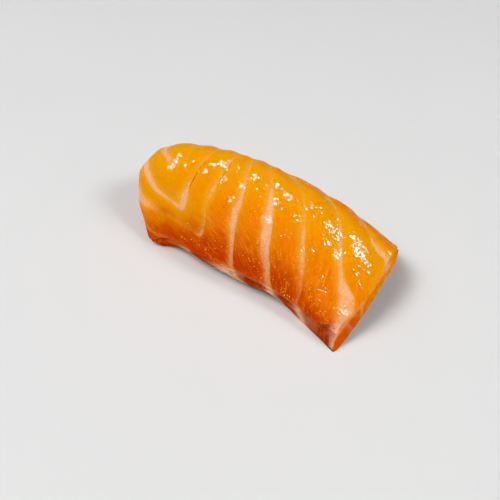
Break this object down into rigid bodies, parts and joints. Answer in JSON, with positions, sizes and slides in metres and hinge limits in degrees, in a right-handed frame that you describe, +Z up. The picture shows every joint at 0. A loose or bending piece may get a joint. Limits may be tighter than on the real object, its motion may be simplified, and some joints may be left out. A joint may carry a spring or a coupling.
{
  "type": "salmon nigiri sushi",
  "caption": "Nigiri sushi: a thick marbled slice of raw salmon draped over a pressed oblong bed of rice, ready to eat in a bite or two.",
  "frame": {"origin": "on the ground under the middle of the whole piece", "axes": "+X along the piece towards the square cut end of the slice, +Z up, -Y towards the long side with the slanted cut"},
  "size_m": [0.0752, 0.0396, 0.0262],
  "materials": {
    "raw_salmon": "moist, slightly translucent orange flesh with pale seams of fat",
    "cooked_rice": "moist, slightly translucent white grains"
  },
  "bodies": {
    "root": {"salmon_slice": "raw_salmon", "rice_bed": "cooked_rice"}
  },
  "joints": []
}
